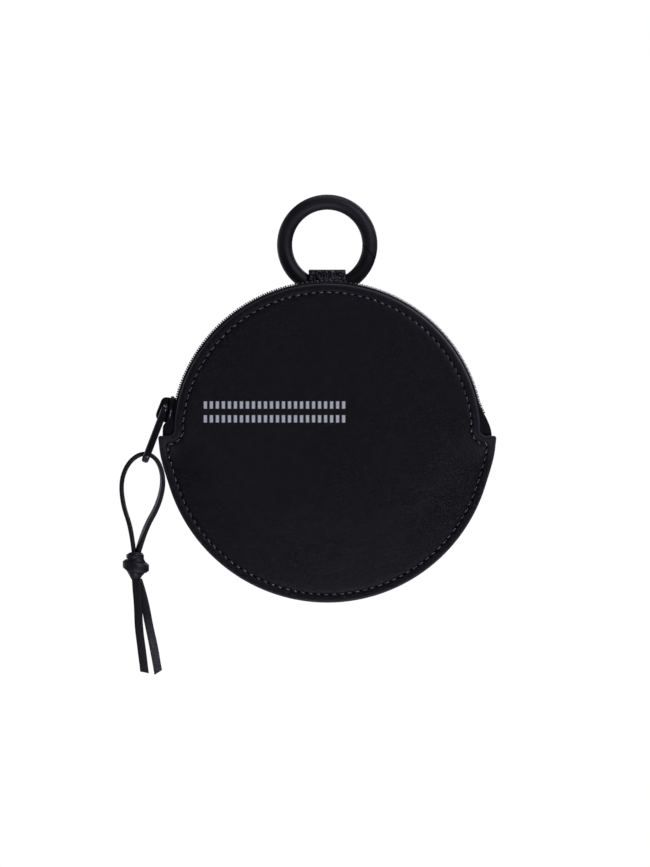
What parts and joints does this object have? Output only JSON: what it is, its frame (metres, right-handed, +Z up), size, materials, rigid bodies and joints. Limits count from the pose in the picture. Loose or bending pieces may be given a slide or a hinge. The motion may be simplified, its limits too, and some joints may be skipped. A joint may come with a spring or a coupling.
{
  "type": "coin purse",
  "caption": "Round flat leather coin purse with a zip over its upper half, a lace zip pull, and a spring-gate ring on a leather tab to hang it by.",
  "frame": {"origin": "the hang point: the inside top of the ring, in the ring's plane", "axes": "+Z up, the purse's face towards -Y, the zip's closed end with its pull at -X"},
  "size_m": [0.1331, 0.0209, 0.1704],
  "materials": {
    "soft_touch_metal": "matte soft-touch black coating",
    "dark_steel": "blackened",
    "spring_steel": "bright spring wire",
    "tab_leather": "glossier grained black leather",
    "body_leather": "satin fine-grained black leather",
    "lining": "black woven lining",
    "zip_tape": "woven black tape",
    "zip_teeth": "black nylon",
    "black_hardware": "glossy black enamel",
    "thread": "black bonded thread",
    "lace_leather": "smooth black leather lace"
  },
  "bodies": {
    "ring": {"ring_body": "soft_touch_metal", "gate_pin": "dark_steel", "gate_spring": "spring_steel"},
    "gate": {"gate_arm": "soft_touch_metal"},
    "tab": {"hanger_tab_loop": "tab_leather"},
    "shell": {"hanger_tab_anchor": "tab_leather", "hanger_tab_stitches": "thread", "back_panel": "body_leather", "back_lining_lower": "lining", "back_lining_upper": "lining", "front_panel_lower": "body_leather", "front_lining_lower": "lining", "back_zip_tape": "zip_tape", "back_teeth": "zip_teeth", "back_top_stop": "black_hardware", "bottom_stop": "black_hardware", "rim_stitches": "thread", "back_seam_stitches": "thread"},
    "front_flap": {"front_panel_upper": "body_leather", "front_lining_upper": "lining", "front_zip_tape": "zip_tape", "front_teeth": "zip_teeth", "front_top_stop": "black_hardware", "front_seam_stitches": "thread"},
    "slider": {"slider_body": "black_hardware", "slider_bridge": "black_hardware"},
    "puller": {"puller_loop": "black_hardware"},
    "tassel": {"lace_loop": "lace_leather", "lace_knot": "lace_leather", "lace_tail_left": "lace_leather", "lace_tail_right": "lace_leather"}
  },
  "joints": [
    {"name": "gate_open", "type": "hinge", "parent": "ring", "child": "gate", "pos_m": [0.00824, 0, -0.02621], "axis": [0, -1, 0], "range_deg": [0, 20], "stiffness_Nm_per_rad": 0.02, "springref_deg": -20.05},
    {"name": "tab_slide", "type": "hinge", "parent": "ring", "child": "tab", "pos_m": [0, 0, -0.0125], "axis": [0, -1, 0], "range_deg": [-180, 0]},
    {"name": "tab_flex", "type": "hinge", "parent": "tab", "child": "shell", "pos_m": [0, -0.003, -0.03465], "axis": [-1, 0, 0], "range_deg": [-60, 0]},
    {"name": "zip_travel", "type": "hinge", "parent": "shell", "child": "slider", "pos_m": [0, -0.01045, -0.08115], "axis": [0, 1, 0], "range_deg": [0, 155], "deforming": ["back_teeth"]},
    {"name": "mouth_open", "type": "hinge", "parent": "shell", "child": "front_flap", "pos_m": [0, -0.01515, -0.08115], "axis": [1, 0, 0], "range_deg": [0, 22], "deforming": ["front_teeth"]},
    {"name": "puller_swing", "type": "hinge", "parent": "slider", "child": "puller", "pos_m": [-0.05746, -0.01045, -0.07041], "axis": [0, 1, 0], "range_deg": [0, 150]},
    {"name": "tassel_swing", "type": "hinge", "parent": "puller", "child": "tassel", "pos_m": [-0.06463, -0.01045, -0.08908], "axis": [0, 1, 0], "range_deg": [0, 55]}
  ],
  "couplings": [
    {"joint": "mouth_open", "follows": "zip_travel", "ratio": 0.1418}
  ]
}
